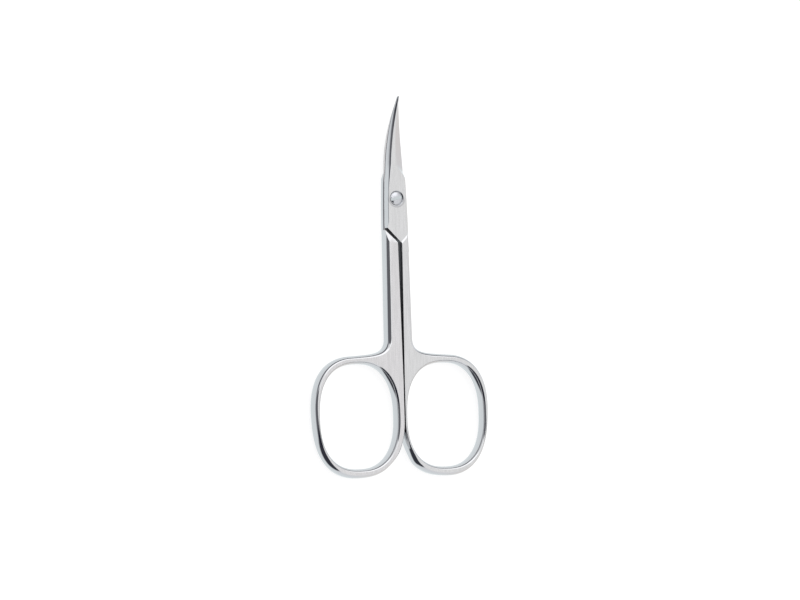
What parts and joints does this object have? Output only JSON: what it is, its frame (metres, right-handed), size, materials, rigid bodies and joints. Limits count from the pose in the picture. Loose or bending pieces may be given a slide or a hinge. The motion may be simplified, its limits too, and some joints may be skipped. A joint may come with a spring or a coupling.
{
  "type": "cuticle scissors",
  "caption": "Small curved cuticle scissors: crossed halves with finger rings, slim shanks and fine pointed blades on a slotted pivot screw.",
  "frame": {"origin": "middle of the bounding box's underside; the pivot axis stands at x 0, y 21 mm", "axes": "+Y from the finger rings towards the blade tips, +Z along the pivot screw out of its slotted head, blades curving up towards +Z, +X towards the front half's finger ring"},
  "size_m": [0.0456, 0.09, 0.0062],
  "materials": {
    "front_steel": "satin faces with polished edges and cutting bevel",
    "rear_steel": "satin faces with polished edges and cutting bevel",
    "screw_steel": "polished"
  },
  "bodies": {
    "rear": {"rear_half": "rear_steel", "pivot_screw": "screw_steel"},
    "front": {"front_half": "front_steel"}
  },
  "joints": [
    {"name": "pivot", "type": "hinge", "parent": "rear", "child": "front", "pos_m": [0, 0.021, 0.00195], "axis": [0, 0, 1], "range_deg": [0, 60]}
  ]
}
